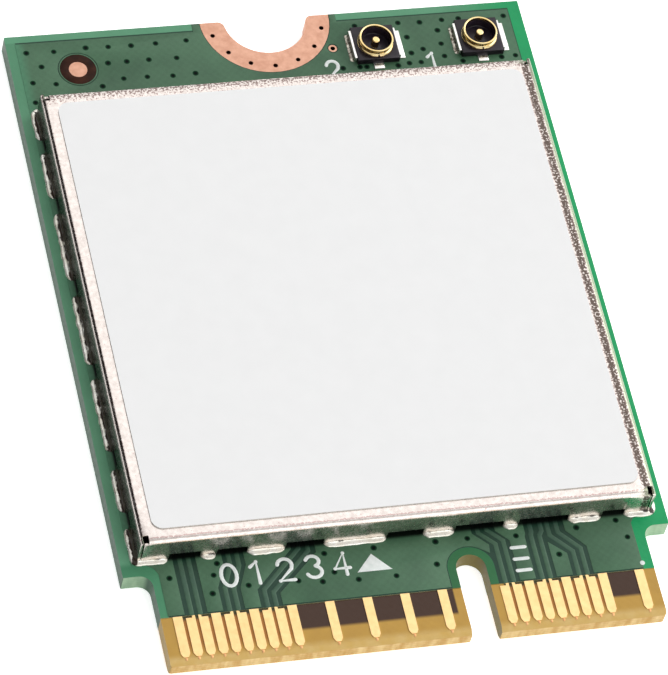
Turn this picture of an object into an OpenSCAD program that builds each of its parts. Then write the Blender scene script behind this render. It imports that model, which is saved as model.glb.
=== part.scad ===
// Radio card for an M.2 slot: 22 x 30 mm board, shield can, two antenna sockets, key E edge contacts.
// Millimetres. X runs along the edge contacts, +Y points from them to the screw notch, +Z is the
// component side. The origin is the middle of the card on its underside.

/* [Board] */
// Width of the card
board_w = 22; // [21:0.25:26]
// Length of the card, from the contact edge to the screw edge
board_l = 30; // [29:0.5:42]
// Thickness over both copper layers
board_t = 0.8; // [0.6:0.05:1.2]
// Radius of the board's four outer corners
corner_r = 0.05; // [0.05:0.05:0.4]
// Thickness of the copper and of the mask coat round it
coat_t = 0.03; // [0.02:0.005:0.05]

/* [Tongue] */
// Width of the tongue that enters the connector
tongue_w = 19.8; // [19.4:0.1:20.2]
// Length of the tongue
tongue_l = 4; // [3.8:0.1:4.2]
// Radius between the tongue and its shoulders
shoulder_r = 0.5; // [0.2:0.05:0.5]
// Radius of the tongue's front corners
tip_r = 0.1; // [0.1:0.05:0.5]
// Height of the bevel along the contact edge
bevel_h = 0.15; // [0.1:0.01:0.25]
// Length of the bevel along the contact edge
bevel_l = 0.22; // [0.1:0.02:0.28]
// Length of bare laminate from the contact edge to the mask
bare_l = 2.07; // [1.9:0.05:2.3]
// Width of the key slot
key_w = 1.2; // [1:0.05:1.3]
// Depth of the key slot
key_l = 3.5; // [3:0.1:3.6]

/* [Contacts] */
// Distance between neighbouring contact places, top and bottom counted together
half_pitch = 0.25; // [0.25:0.005:0.26]
// Width of a contact
contact_w = 0.37; // [0.3:0.01:0.4]
// Distance from the contact edge to a contact's tip
contact_inset = 0.28; // [0.28:0.02:0.4]
// Length of a contact's tapered tip
contact_taper = 0.16; // [0.1:0.02:0.4]
// Width of a contact's blunt tip
contact_tip_w = 0.2; // [0.1:0.01:0.2]
// Depth of the step beside the tab that a signal track joins
tab_step = 0.1; // [0.05:0.01:0.2]
// Width of that tab
tab_w = 0.12; // [0.08:0.01:0.16]

/* [Screw notch] */
// Radius of the half round screw notch
screw_r = 1.75; // [1.6:0.05:1.9]
// Radius that rounds the notch's two mouth corners
mouth_r = 0.28; // [0.1:0.02:0.4]
// Radius of the copper pad round the notch
pad_r = 2.75; // [2.6:0.05:3]
// Radius of the ring that the pad's via holes lie on
pad_via_ring = 2.42; // [2.3:0.02:2.45]
// Radius of a via hole
via_r = 0.1; // [0.06:0.01:0.14]
// Angle between neighbouring via holes in the pad
pad_via_step = 24.6; // [20:0.2:25]

/* [Marks] */
// Distance of the alignment mark from the left edge
mark_x = 2.77; // [2.2:0.05:4]
// Distance of the alignment mark from the screw edge
mark_y = 1.88; // [1.5:0.05:2.1]
// Radius of the alignment mark's copper dot
mark_r = 0.38; // [0.25:0.01:0.5]
// Width of the clear ring round the dot
mark_ring = 0.4; // [0.2:0.02:0.5]
// Distance of the grounding via from the card's middle line
ground_via_x = 2.58; // [2.4:0.02:2.7]
// Distance of the grounding via from the screw edge
ground_via_y = 1.77; // [1.6:0.02:1.9]
// Width of the grounding via's copper ring
ground_via_ring = 0.08; // [0.05:0.01:0.12]

/* [Shield can] */
// Width of the shield can
can_w = 20.7; // [19.5:0.1:20.8]
// Distance from the screw edge to the can's back wall
can_back = 3.98; // [3.7:0.02:4.8]
// Height of the shield can above the board
can_h = 1.38; // [1.3:0.02:1.5]
// Thickness of its sheet
can_t = 0.12; // [0.08:0.01:0.15]
// Outer radius of its bends
can_bend = 0.2; // [0.16:0.02:0.26]
// Distance from the contact edge to the can's front wall
can_front = 4.62; // [4.5:0.02:4.8]
// Side of the open relief at each folded corner
can_relief = 0.34; // [0.28:0.02:0.4]
// Width of the seam between neighbouring walls
can_seam = 0.04; // [0.02:0.01:0.08]
// Height of the openings between the can's feet
foot_gap_h = 0.38; // [0.2:0.02:0.5]
// Height of the solder on the feet
solder_h = 0.24; // [0.1:0.02:0.3]
// Width of the solder on the board
solder_w = 0.26; // [0.1:0.01:0.3]

/* [Label] */
// Thickness of the label
label_t = 0.06; // [0.03:0.01:0.1]
// Distance from the can's walls to the label's edge
label_margin = 0.56; // [0.3:0.05:1]
// Radius of the label's corners
label_r = 0.45; // [0.2:0.05:1]

/* [Antenna sockets] */
// Distance of socket 2 from the card's middle line
socket_x = 4.34; // [4.2:0.02:4.5]
// Distance between the two sockets
socket_pitch = 4.5; // [4.2:0.05:4.6]
// Distance from the screw edge to the sockets' middle
socket_y = 1.84; // [1.8:0.02:1.9]
// Width of a socket's moulded base
socket_base_w = 1.8; // [1.74:0.02:1.9]
// Length of the base
socket_base_l = 1.72; // [1.7:0.02:1.8]
// Height of the base
socket_base_h = 0.3; // [0.3:0.02:0.4]
// Radius of the ring that the plug snaps on
ring_r = 0.72; // [0.7:0.01:0.76]
// Thickness of the ring
ring_t = 0.09; // [0.06:0.01:0.12]
// Height of the ring above the board
ring_h = 0.62; // [0.58:0.02:0.7]
// Width of the flange at the ring's foot
flange_w = 0.05; // [0.04:0.01:0.1]
// Thickness of the shell's flange and tabs
shell_t = 0.06; // [0.04:0.01:0.08]
// Height of the upright lips beside the base
lip_h = 0.24; // [0.16:0.02:0.28]
// Length of the two ground tabs, along the card
tab_l = 1.4; // [1:0.05:1.5]
// How far a ground tab reaches past its upright lip
tab_reach = 0.14; // [0.05:0.01:0.15]
// Radius of the centre pin
pin_r = 0.16; // [0.1:0.01:0.18]
// Height of the centre pin above the board
pin_h = 0.52; // [0.4:0.02:0.56]
// Width of the signal tab in front
signal_w = 0.36; // [0.28:0.02:0.44]
// How far the signal tab reaches past the base
signal_reach = 0.28; // [0.15:0.01:0.3]
// Depth of the well inside the ring, from the base's top
well_depth = 0.18; // [0.1:0.02:0.2]
// Width of the solder along the sockets' tabs
tab_solder_w = 0.1; // [0.08:0.01:0.16]

/* [Parts under the can] */
// Side of the radio chip
chip_w = 9; // [8:0.5:9.5]
// Height of the radio chip
chip_h = 0.85; // [0.6:0.05:0.95]
// Side of a front-end module
module_w = 3; // [2.5:0.1:3.4]
// Height of a front-end module
module_h = 0.7; // [0.5:0.05:0.9]
// Length of the reference crystal
crystal_l = 2.5; // [2:0.1:3.2]
// Width of the reference crystal
crystal_w = 2; // [1.6:0.1:2.5]
// Height of the reference crystal
crystal_h = 0.6; // [0.5:0.05:0.8]
// Side of the voltage regulator
regulator_w = 3; // [2.5:0.1:3.4]
// Height of the voltage regulator
regulator_h = 0.75; // [0.6:0.05:0.9]
// Length of the memory chip
memory_l = 3; // [2:0.1:3.2]
// Width of the memory chip
memory_w = 2; // [1.5:0.1:2.4]
// Height of the memory chip
memory_h = 0.55; // [0.4:0.05:0.8]
// Length of a power inductor
inductor_l = 2; // [1.6:0.1:2.2]
// Width of a power inductor
inductor_w = 1.6; // [1.2:0.1:1.8]
// Height of a power inductor
inductor_h = 0.95; // [0.6:0.05:1]
// Length of a radio filter
filter_l = 1.6; // [1.2:0.1:1.8]
// Width of a radio filter
filter_w = 0.8; // [0.6:0.05:1]
// Height of a radio filter
filter_h = 0.6; // [0.4:0.05:0.7]
// Length of a capacitor
cap_l = 1; // [0.8:0.05:1.05]
// Width and height of a capacitor
cap_w = 0.5; // [0.3:0.05:0.55]
// Length of a resistor
res_l = 0.6; // [0.5:0.05:0.7]
// Width of a resistor
res_w = 0.3; // [0.25:0.05:0.35]
// Height of a resistor
res_h = 0.25; // [0.2:0.05:0.3]
// Length of the soldered caps at a small part's two ends
end_cap_l = 0.2; // [0.1:0.02:0.24]
// Clear space kept between the small parts and their neighbours
part_gap = 0.35; // [0.3:0.05:0.45]
// Clear space between the can's side walls and the larger parts
wall_gap = 1.6; // [0.8:0.1:2]

/* [Hidden] */

round_fn = 48;
fine_fn = 24;
cut = 1; // how far a cutting shape runs past what it cuts

top_z = board_t;
front_y = -board_l / 2;
screw_y = board_l / 2;
left_x = -board_w / 2;

// Contact numbers: odd on top, even below. The key takes the place of numbers 24 to 31.
middle_pin = 38;
key_pin = 27.5;
left_pins = [for (n = [57:2:75]) n];
wide_set_pins = [for (n = [33:6:51]) n];
right_pins = [for (n = [7:2:23]) n];
first_pin = [1];
bottom_left_pins = [for (n = [32:2:74]) n];
bottom_right_pins = [for (n = [2:2:22]) n];
// Each signal pair's two contacts have their tabs on the sides that face each other
right_tab_pins = [73, 67, 61, 23, 17, 11];
left_tab_pins = [71, 65, 59, 21, 15, 9];

function pin_x(n) = (middle_pin - n) * half_pitch;
function listed(n, pins) = len(search(n, pins)) > 0;
function tab_side(n) = listed(n, right_tab_pins) ? 1 : listed(n, left_tab_pins) ? -1 : 0;

pad_vias = 7;
mark_pos = [left_x + mark_x, screw_y - mark_y];
ground_via_pos = [ground_via_x, screw_y - ground_via_y];

// Openings in the can's lower edge: [middle, width] along each wall, from the wall's own middle
front_gaps = [[-8.475, 1.25], [-6.6, 1.2], [-3.7, 1.5], [0.325, 1.45], [3.325, 1.95], [5.95, 2], [8.8, 0.9]];
back_gaps = [[-8.1, 1.2], [-5.1, 1.2], [-2.1, 1.2], [1.1, 1.2], [4.34, 1], [6.6, 0.9], [8.84, 0.8]];
side_gaps = [[-8.8, 0.7], [-6.05, 0.8], [-1.9, 0.65], [2.1, 0.7], [6.1, 0.7], [9.05, 0.6]];
corner_foot = 0.6; // shortest foot left at a can's corner
can_l = board_l - can_front - can_back;
can_cross_l = can_w - 2 * (can_t + can_seam); // front and back walls, which end between the side walls
can_mid_y = front_y + can_front + can_l / 2;
can_in_x = can_w / 2 - can_t;
can_in_y = can_l / 2 - can_t;

function kept(gaps, wall_l) = [for (g = gaps) if (abs(g[0]) + g[1] / 2 < wall_l / 2 - corner_foot) g];
function gap_start(g) = g[0] - g[1] / 2;
function gap_end(g) = g[0] + g[1] / 2;
// Feet are what the openings leave of a wall: [start, end]
function feet(gaps, half) = [
  for (i = [0:len(gaps)])
    [i == 0 ? -half : gap_end(gaps[i - 1]), i == len(gaps) ? half : gap_start(gaps[i])]
];

socket_xs = [socket_x + socket_pitch, socket_x];
socket_mid_y = screw_y - socket_y;
lip_x = socket_base_w / 2;
tab_end_x = lip_x + shell_t + tab_reach;
signal_end_y = socket_base_l / 2 + signal_reach;
floor_h = socket_base_h - well_depth;
skin_t = 0.04; // plastic between the signal strip and the ring
leg_l = tab_l / 2; // length of the two legs that join the ring to its tabs
leg_w = 2 * ring_t;
chip_dot_r = 0.3; // round mark in the corner of a large package
small_dot_r = 0.14; // and of a small one

// Places of the parts under the can, from the can's middle. The front-end modules, with a row of
// resistors before and behind each and their filters beside them, lie along the back wall. The chip
// and its ring of capacitors take the middle of what is left, and the supply parts stand beside it.
module_y = can_in_y - 2 * part_gap - res_l - module_w / 2;
module_pitch = module_w + filter_w + 2 * part_gap;
module_x = can_in_x - 3 * part_gap - module_w / 2;
module_pos = [[module_x, module_y], [module_x - module_pitch, module_y]];
filter_reach = (module_w + filter_w) / 2 + part_gap;
crystal_pos = [-can_in_x + wall_gap + crystal_l / 2, module_y];
memory_pos = [crystal_pos[0] + (crystal_l + memory_l) / 2 + 3 * part_gap, module_y];
chip_reach = chip_w / 2 + part_gap + cap_l;
chip_pos = [-can_in_x + wall_gap + chip_reach, (module_y - module_w / 2 - part_gap - res_l - can_in_y) / 2];
supply_x = can_in_x - wall_gap - regulator_w / 2;
inductors = 3;
inductor_pitch = inductor_w + 2 * part_gap;
supply_l = inductors * inductor_pitch + regulator_w;
supply_y = chip_pos[1] - supply_l / 2;

module at_pos(p, z = top_z) {
  translate([p[0], p[1], z]) children();
}

module rounded_rect(w, l, r) {
  square([w - 2 * r, l], center = true);
  square([w, l - 2 * r], center = true);
  for (x = [-1, 1], y = [-1, 1])
    translate([x * (w / 2 - r), y * (l / 2 - r)]) circle(r = r, $fn = round_fn);
}

module slab(z0, z1) {
  translate([0, 0, z0]) linear_extrude(z1 - z0) children();
}

// The notch with its mouth corners rounded. A positive inset makes it wider by that much.
module screw_notch(inset = 0) {
  mouth_x = sqrt(pow(screw_r + mouth_r, 2) - pow(mouth_r, 2));
  translate([0, screw_y]) {
    circle(r = screw_r + inset, $fn = 2 * round_fn);
    difference() {
      polygon([[0, 0], [0, cut], [mouth_x, cut], [mouth_x, -mouth_r]]);
      translate([mouth_x, -mouth_r]) circle(r = mouth_r - inset, $fn = round_fn);
    }
    difference() {
      polygon([[0, 0], [-mouth_x, -mouth_r], [-mouth_x, cut], [0, cut]]);
      translate([-mouth_x, -mouth_r]) circle(r = mouth_r - inset, $fn = round_fn);
    }
  }
}

module on_board_side() {
  intersection() {
    children();
    translate([-board_w, screw_y - board_l]) square([2 * board_w, board_l]);
  }
}

module key_slot() {
  x = pin_x(key_pin);
  translate([x, front_y + key_l - key_w / 2]) circle(r = key_w / 2, $fn = round_fn);
  translate([x - key_w / 2, front_y - cut]) square([key_w, key_l - key_w / 2 + cut]);
}

module shoulder_fillet(side) {
  translate([side * tongue_w / 2, front_y + tongue_l]) difference() {
    translate([side > 0 ? -cut : -shoulder_r, -shoulder_r]) square([shoulder_r + cut, shoulder_r + cut]);
    translate([side * shoulder_r, -shoulder_r]) circle(r = shoulder_r, $fn = round_fn);
  }
}

module board_outline() {
  difference() {
    union() {
      translate([0, tongue_l / 2]) rounded_rect(board_w, board_l - tongue_l, corner_r);
      translate([0, front_y + (tongue_l + cut) / 2]) rounded_rect(tongue_w, tongue_l + cut, tip_r);
      for (side = [-1, 1]) shoulder_fillet(side);
    }
    key_slot();
    screw_notch(coat_t);
  }
}

module pad_via_places() {
  for (i = [0:pad_vias - 1]) {
    a = -90 + (i - (pad_vias - 1) / 2) * pad_via_step;
    translate([pad_via_ring * cos(a), screw_y + pad_via_ring * sin(a)]) children();
  }
}

module via_hole(r = via_r) {
  translate([0, 0, -cut]) cylinder(r = r, h = board_t + 2 * cut, $fn = fine_fn);
}

// Removes the coat from both faces over a flat shape
module both_coats() {
  slab(-cut, coat_t) children();
  slab(top_z - coat_t, top_z + cut) children();
}

module bevel(flip) {
  profile = [[-cut, -cut], [-cut, bevel_h], [0, bevel_h], [bevel_l, coat_t], [bevel_l, -cut]];
  translate([-board_w / 2, front_y, flip ? board_t : 0]) mirror([0, 0, flip ? 1 : 0])
    rotate([90, 0, 90]) linear_extrude(board_w) polygon(profile);
}

module circuit_board() {
  color("seagreen") difference() {
    slab(0, board_t) board_outline();
    both_coats() {
      translate([-board_w / 2, front_y - cut]) square([board_w, bare_l + cut]);
      translate([0, screw_y]) circle(r = pad_r, $fn = 2 * round_fn);
      translate(ground_via_pos) circle(r = via_r + ground_via_ring, $fn = fine_fn);
    }
    slab(top_z - coat_t, top_z + cut) translate(mark_pos) circle(r = mark_r + mark_ring, $fn = round_fn);
    for (flip = [false, true]) bevel(flip);
    pad_via_places() via_hole();
    at_pos(ground_via_pos, 0) via_hole(via_r + coat_t);
  }
}

// One contact seen from above: a blade with a tapered tip and, for a signal, a step beside its tab
module contact_shape(n) {
  half = contact_w / 2;
  tip = contact_tip_w / 2;
  y0 = front_y + contact_inset;
  y1 = y0 + contact_taper;
  y2 = front_y + bare_l;
  side = tab_side(n);
  translate([pin_x(n), 0]) difference() {
    polygon([[-tip, y0], [tip, y0], [half, y1], [half, y2], [-half, y2], [-half, y1]]);
    if (side != 0)
      translate([side > 0 ? -contact_w : tab_w - half, y2 - tab_step])
        square([contact_w + half - tab_w, tab_step + cut]);
  }
}

module contacts(pins, z) {
  color("gold") slab(z, z + coat_t) for (n = pins) contact_shape(n);
}

module contacts_top_left() {
  contacts(left_pins, top_z - coat_t);
}

module contacts_top_wide_set() {
  contacts(wide_set_pins, top_z - coat_t);
}

module contacts_top_right() {
  contacts(right_pins, top_z - coat_t);
}

module contact_top_first() {
  contacts(first_pin, top_z - coat_t);
}

module contacts_bottom_left() {
  contacts(bottom_left_pins, 0);
}

module contacts_bottom_right() {
  contacts(bottom_right_pins, 0);
}

// Copper ring on both faces, joined by the plating on the notch's wall
module mounting_pad() {
  color("rosybrown") difference() {
    union() {
      for (z = [0, top_z - coat_t]) slab(z, z + coat_t) on_board_side() difference() {
        translate([0, screw_y]) circle(r = pad_r, $fn = 2 * round_fn);
        screw_notch();
      }
      slab(0, board_t) on_board_side() difference() {
        screw_notch(coat_t);
        screw_notch();
      }
    }
    pad_via_places() via_hole();
  }
}

module grounding_via() {
  color("peru") at_pos(ground_via_pos, 0) difference() {
    union() {
      cylinder(r = via_r + coat_t, h = board_t, $fn = fine_fn);
      for (z = [0, top_z - coat_t]) translate([0, 0, z])
        cylinder(r = via_r + ground_via_ring, h = coat_t, $fn = fine_fn);
    }
    via_hole();
  }
}

module alignment_mark() {
  color("rosybrown") at_pos(mark_pos, top_z - coat_t) cylinder(r = mark_r, h = coat_t, $fn = round_fn);
}

// Section of a wall with its bend, standing at y = 0 with the sheet's top running to +y
module wall_section(top_l) {
  difference() {
    square([can_bend, can_h - can_bend]);
    translate([can_t, -cut]) square([can_bend, can_h - can_bend + cut]);
  }
  translate([can_bend, can_h - can_bend]) difference() {
    intersection() {
      circle(r = can_bend, $fn = round_fn);
      translate([-can_bend, 0]) square(can_bend);
    }
    circle(r = can_bend - can_t, $fn = round_fn);
  }
  translate([can_bend, can_h - can_t]) square([top_l, can_t]);
}

// A wall of the given length along x, its outer face at y = 0
module can_wall(wall_l, gaps) {
  difference() {
    translate([-wall_l / 2, 0, 0]) rotate([90, 0, 90]) linear_extrude(wall_l) wall_section(can_relief);
    for (g = kept(gaps, wall_l)) translate([gap_start(g), -cut, -cut])
      cube([g[1], 2 * cut, foot_gap_h + cut]);
  }
}

module shield_can() {
  relief_out = can_relief - can_t;
  color("silver") translate([0, can_mid_y, top_z]) difference() {
    union() {
      translate([-can_w / 2 + can_bend, -can_l / 2 + can_bend, can_h - can_t])
        cube([can_w - 2 * can_bend, can_l - 2 * can_bend, can_t]);
      translate([0, -can_l / 2, 0]) can_wall(can_cross_l, front_gaps);
      translate([0, can_l / 2, 0]) mirror([0, 1, 0]) can_wall(can_cross_l, back_gaps);
      translate([-can_w / 2, 0, 0]) rotate([0, 0, -90]) can_wall(can_l, [for (g = side_gaps) [-g[0], g[1]]]);
      translate([can_w / 2, 0, 0]) rotate([0, 0, 90]) can_wall(can_l, side_gaps);
    }
    for (x = [-1, 1], y = [-1, 1])
      translate([x * (can_in_x - relief_out / 2), y * (can_l / 2 - can_relief / 2 + cut / 2), can_h])
        cube([relief_out, can_relief + cut, 2 * can_bend], center = true);
  }
}

// Section of a solder fillet, hollow in the middle: up the wall at x = 0, out along the board
module solder_section(w, h) {
  waist = 0.4;
  polygon([[0, 0], [w, 0], [w * waist, h * waist], [0, h]]);
}

// A fillet along x from x0 to x1, against a wall face at y = 0, on its -y side
module solder_run(x0, x1, w, h) {
  translate([x0, 0, 0]) rotate([90, 0, 90]) linear_extrude(x1 - x0) mirror([1, 0]) solder_section(w, h);
}

module solder_side(half, gaps, wall_l) {
  for (f = feet(kept(gaps, wall_l), half)) solder_run(f[0], f[1], solder_w, solder_h);
}

module shield_solder() {
  color("gainsboro") translate([0, can_mid_y, top_z]) {
    translate([0, -can_l / 2, 0]) solder_side(can_w / 2, front_gaps, can_cross_l);
    translate([0, can_l / 2, 0]) mirror([0, 1, 0]) solder_side(can_w / 2, back_gaps, can_cross_l);
    translate([-can_w / 2, 0, 0]) mirror([1, 0, 0]) rotate([0, 0, 90])
      solder_side(can_l / 2, side_gaps, can_l);
    translate([can_w / 2, 0, 0]) rotate([0, 0, 90]) solder_side(can_l / 2, side_gaps, can_l);
    for (x = [-1, 1], y = [-1, 1]) translate([x * can_w / 2, y * can_l / 2, 0])
      rotate([0, 0, x > 0 ? (y > 0 ? 0 : 270) : (y > 0 ? 90 : 180)])
        rotate_extrude(angle = 90, $fn = fine_fn) solder_section(solder_w, solder_h);
  }
}

module label() {
  color("whitesmoke") translate([0, can_mid_y, 0]) slab(top_z + can_h, top_z + can_h + label_t)
    rounded_rect(can_w - 2 * label_margin, can_l - 2 * label_margin, label_r);
}

module at_socket(i) {
  translate([socket_xs[i], socket_mid_y, top_z]) children();
}

module signal_strip() {
  translate([-signal_w / 2, -signal_end_y, 0]) cube([signal_w, signal_end_y, shell_t]);
}

module centre_contact(grow_h = 0) {
  signal_strip();
  cylinder(r = pin_r, h = pin_h - pin_r + grow_h, $fn = fine_fn);
}

module shell_ring(h0, h1, r = ring_r) {
  translate([0, 0, h0]) difference() {
    cylinder(r = r, h = h1 - h0, $fn = round_fn);
    translate([0, 0, -cut]) cylinder(r = ring_r - ring_t, h = h1 - h0 + 2 * cut, $fn = round_fn);
  }
}

// Ground tabs: flat wings on the board that turn up into lips beside the base
module shell_wings() {
  for (side = [-1, 1]) mirror([side > 0 ? 0 : 1, 0, 0]) {
    translate([ring_r - ring_t, -tab_l / 2, 0]) cube([tab_end_x - ring_r + ring_t, tab_l, shell_t]);
    translate([lip_x, -tab_l / 2, 0]) cube([shell_t, tab_l, lip_h]);
  }
}

module shell_solid() {
  shell_ring(shell_t + skin_t, ring_h);
  shell_ring(socket_base_h, socket_base_h + shell_t, ring_r + flange_w);
  for (side = [-1, 1]) intersection() {
    shell_ring(0, shell_t + skin_t);
    translate([side > 0 ? ring_r - leg_w : -ring_r, -leg_l / 2, 0]) cube([leg_w, leg_l, shell_t + skin_t]);
  }
  shell_wings();
}

module socket_base(i) {
  color([0.12, 0.12, 0.13]) at_socket(i) difference() {
    translate([-socket_base_w / 2, -socket_base_l / 2, 0])
      cube([socket_base_w, socket_base_l, socket_base_h]);
    translate([0, 0, floor_h]) cylinder(r = ring_r - ring_t, h = socket_base_h, $fn = round_fn);
    shell_solid();
    centre_contact(cut);
  }
}

module socket_shell(i) {
  color("goldenrod") at_socket(i) shell_solid();
}

module socket_pin(i) {
  color("gold") at_socket(i) {
    centre_contact();
    translate([0, 0, pin_h - pin_r]) intersection() {
      sphere(r = pin_r, $fn = fine_fn);
      cylinder(r = 2 * pin_r, h = 2 * pin_r, $fn = fine_fn);
    }
  }
}

module socket_solder(i) {
  color("gainsboro") at_socket(i) {
    for (side = [-1, 1]) mirror([side > 0 ? 0 : 1, 0, 0]) translate([tab_end_x, 0, 0])
      rotate([0, 0, 90]) solder_run(-tab_l / 2, tab_l / 2, tab_solder_w, shell_t);
    translate([0, -signal_end_y, 0]) solder_run(-signal_w / 2, signal_w / 2, tab_solder_w, shell_t);
  }
}

module socket_1_base() {
  socket_base(0);
}

module socket_1_shell() {
  socket_shell(0);
}

module socket_1_pin() {
  socket_pin(0);
}

module socket_1_solder() {
  socket_solder(0);
}

module socket_2_base() {
  socket_base(1);
}

module socket_2_shell() {
  socket_shell(1);
}

module socket_2_pin() {
  socket_pin(1);
}

module socket_2_solder() {
  socket_solder(1);
}

module on_board(p) {
  translate([p[0], can_mid_y + p[1], top_z]) children();
}

module block(l, w, h) {
  translate([-l / 2, -w / 2, 0]) cube([l, w, h]);
}

// A flat package with a round mark in one corner of its top
module package(l, w, h, dot_r) {
  difference() {
    block(l, w, h);
    translate([-l / 2 + 3 * dot_r, w / 2 - 3 * dot_r, h - coat_t])
      cylinder(r = dot_r, h = cut, $fn = fine_fn);
  }
}

// A small part with a soldered cap at each end, a little thicker than its body
module two_ended(l, w, h) {
  thin = 0.9;
  block(l, w * thin, h * thin);
  for (side = [-1, 1]) translate([side * (l - end_cap_l) / 2, 0, 0]) block(end_cap_l, w, h);
}

module radio_chip() {
  color("dimgray") on_board(chip_pos) package(chip_w, chip_w, chip_h, chip_dot_r);
}

module front_end_module(i) {
  color("darkslategray") on_board(module_pos[i]) package(module_w, module_w, module_h, small_dot_r);
}

module front_end_module_1() {
  front_end_module(0);
}

module front_end_module_2() {
  front_end_module(1);
}

module reference_crystal() {
  lid_inset = 0.15;
  lid_h = 0.12;
  color("lightgray") on_board(crystal_pos) {
    block(crystal_l, crystal_w, crystal_h - lid_h);
    translate([0, 0, crystal_h - lid_h]) block(crystal_l - 2 * lid_inset, crystal_w - 2 * lid_inset, lid_h);
  }
}

module voltage_regulator() {
  color("dimgray") on_board([supply_x, supply_y + supply_l - regulator_w / 2])
    package(regulator_w, regulator_w, regulator_h, small_dot_r);
}

module memory_chip() {
  color("dimgray") on_board(memory_pos) package(memory_l, memory_w, memory_h, small_dot_r);
}

module power_inductors() {
  color("slategray") for (i = [0:inductors - 1])
    on_board([supply_x, supply_y + inductor_w / 2 + i * inductor_pitch])
      two_ended(inductor_l, inductor_w, inductor_h);
}

// Two filters on the left of each front-end module
module radio_filters() {
  color("linen") for (m = module_pos, side = [-1, 1])
    on_board([m[0] - filter_reach, m[1] + side * (filter_l + part_gap) / 2])
      rotate([0, 0, 90]) two_ended(filter_l, filter_w, filter_h);
}

// Capacitors stand in rows on the four sides of the radio chip, at least part_gap from it
module chip_side_rows(row_n, pitch, depth) {
  for (turn = [0:90:270]) rotate([0, 0, turn])
    for (i = [0:row_n - 1])
      translate([(i - (row_n - 1) / 2) * pitch, chip_w / 2 + part_gap + depth / 2, 0]) children();
}

module capacitors() {
  cap_row = floor(chip_w / (cap_w + part_gap));
  color("tan") on_board(chip_pos) chip_side_rows(cap_row, cap_w + part_gap, cap_l)
    rotate([0, 0, 90]) two_ended(cap_l, cap_w, cap_w);
}

module resistors() {
  res_row = 6;
  res_pitch = res_w + part_gap;
  color([0.2, 0.2, 0.22]) for (m = module_pos, side = [-1, 1])
    on_board([m[0], m[1] + side * (module_w / 2 + part_gap + res_l / 2)])
      for (i = [0:res_row - 1]) translate([(i - (res_row - 1) / 2) * res_pitch, 0, 0])
        rotate([0, 0, 90]) two_ended(res_l, res_w, res_h);
}

circuit_board();
contacts_top_left();
contacts_top_wide_set();
contacts_top_right();
contact_top_first();
contacts_bottom_left();
contacts_bottom_right();
mounting_pad();
grounding_via();
alignment_mark();
shield_can();
shield_solder();
label();
socket_1_base();
socket_1_shell();
socket_1_pin();
socket_1_solder();
socket_2_base();
socket_2_shell();
socket_2_pin();
socket_2_solder();
radio_chip();
front_end_module_1();
front_end_module_2();
reference_crystal();
voltage_regulator();
memory_chip();
power_inductors();
radio_filters();
capacitors();
resistors();
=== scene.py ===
import math

import bmesh
import bpy
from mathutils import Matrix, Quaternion, Vector


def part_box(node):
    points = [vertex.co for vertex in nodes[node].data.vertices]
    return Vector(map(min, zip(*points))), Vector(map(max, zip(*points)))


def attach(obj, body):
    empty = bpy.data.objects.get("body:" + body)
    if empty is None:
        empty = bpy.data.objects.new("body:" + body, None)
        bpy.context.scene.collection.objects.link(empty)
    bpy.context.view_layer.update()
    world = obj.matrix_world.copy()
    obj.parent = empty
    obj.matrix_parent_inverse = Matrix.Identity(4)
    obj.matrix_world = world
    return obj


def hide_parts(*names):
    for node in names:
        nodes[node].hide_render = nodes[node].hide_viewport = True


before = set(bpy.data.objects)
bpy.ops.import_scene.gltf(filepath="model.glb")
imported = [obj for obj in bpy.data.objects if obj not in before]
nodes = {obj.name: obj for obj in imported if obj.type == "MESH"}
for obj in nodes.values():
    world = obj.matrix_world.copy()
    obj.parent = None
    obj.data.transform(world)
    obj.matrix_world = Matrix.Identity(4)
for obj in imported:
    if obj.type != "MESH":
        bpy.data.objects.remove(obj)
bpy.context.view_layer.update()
mm = 0.001  # the scene is in metres, the sizes below are in millimetres


def boxMm(node):
    low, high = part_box(node)
    return low / mm, high / mm


boardLow, boardHigh = boxMm("circuit_board")
canLow, canHigh = boxMm("shield_can")
boardTop = boardHigh.z
edgeY = boardLow.y  # the contact edge, from which the places below count
maskY = boxMm("contacts_top_left")[1].y - edgeY  # where the bare strip ends and the mask begins


def spot(x, y, z=boardTop):
    return Vector((x, edgeY + y, z))


# Small tools for node trees, meshes and pieces

def plug(socket, value):
    if isinstance(value, bpy.types.Node):
        value = value.outputs[0]
    if isinstance(value, bpy.types.NodeSocket):
        socket.id_data.links.new(value, socket)
    else:
        socket.default_value = value


def setInputs(node, inputs):
    for key, value in inputs.items():
        plug(node.inputs[key], value)


def put(tree, kind, inputs=None, **settings):
    node = tree.nodes.new(kind)
    for name, value in settings.items():
        setattr(node, name, value)
    setInputs(node, inputs or {})
    return node


def treeOf(*values):  # the node tree of the first socket among them
    return next(value.id_data for value in values if hasattr(value, "id_data"))


def newObject(name, data):
    piece = bpy.data.objects.new(name, data)
    bpy.context.scene.collection.objects.link(piece)
    return piece


def meshPiece(name, points, faces, edges=()):
    mesh = bpy.data.meshes.new(name)
    mesh.from_pydata([Vector(p) * mm for p in points], edges, faces)
    return newObject(name, mesh)


def finishPiece(piece, finish=None, smoothAngle=None):
    if finish:
        piece.data.materials.clear()
        piece.data.materials.append(finish)
    if smoothAngle:
        for face in piece.data.polygons:
            face.use_smooth = True
        piece.data.set_sharp_from_angle(angle=math.radians(smoothAngle))


def bake(piece):  # swaps a piece for its evaluated mesh and drops its modifiers
    graph = bpy.context.evaluated_depsgraph_get()
    mesh = bpy.data.meshes.new_from_object(piece.evaluated_get(graph))
    mesh.name = piece.name
    if piece.type == "MESH":
        piece.modifiers.clear()
        piece.data = mesh
        return piece
    name = piece.name
    bpy.data.objects.remove(piece)
    return newObject(name, mesh)


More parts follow.
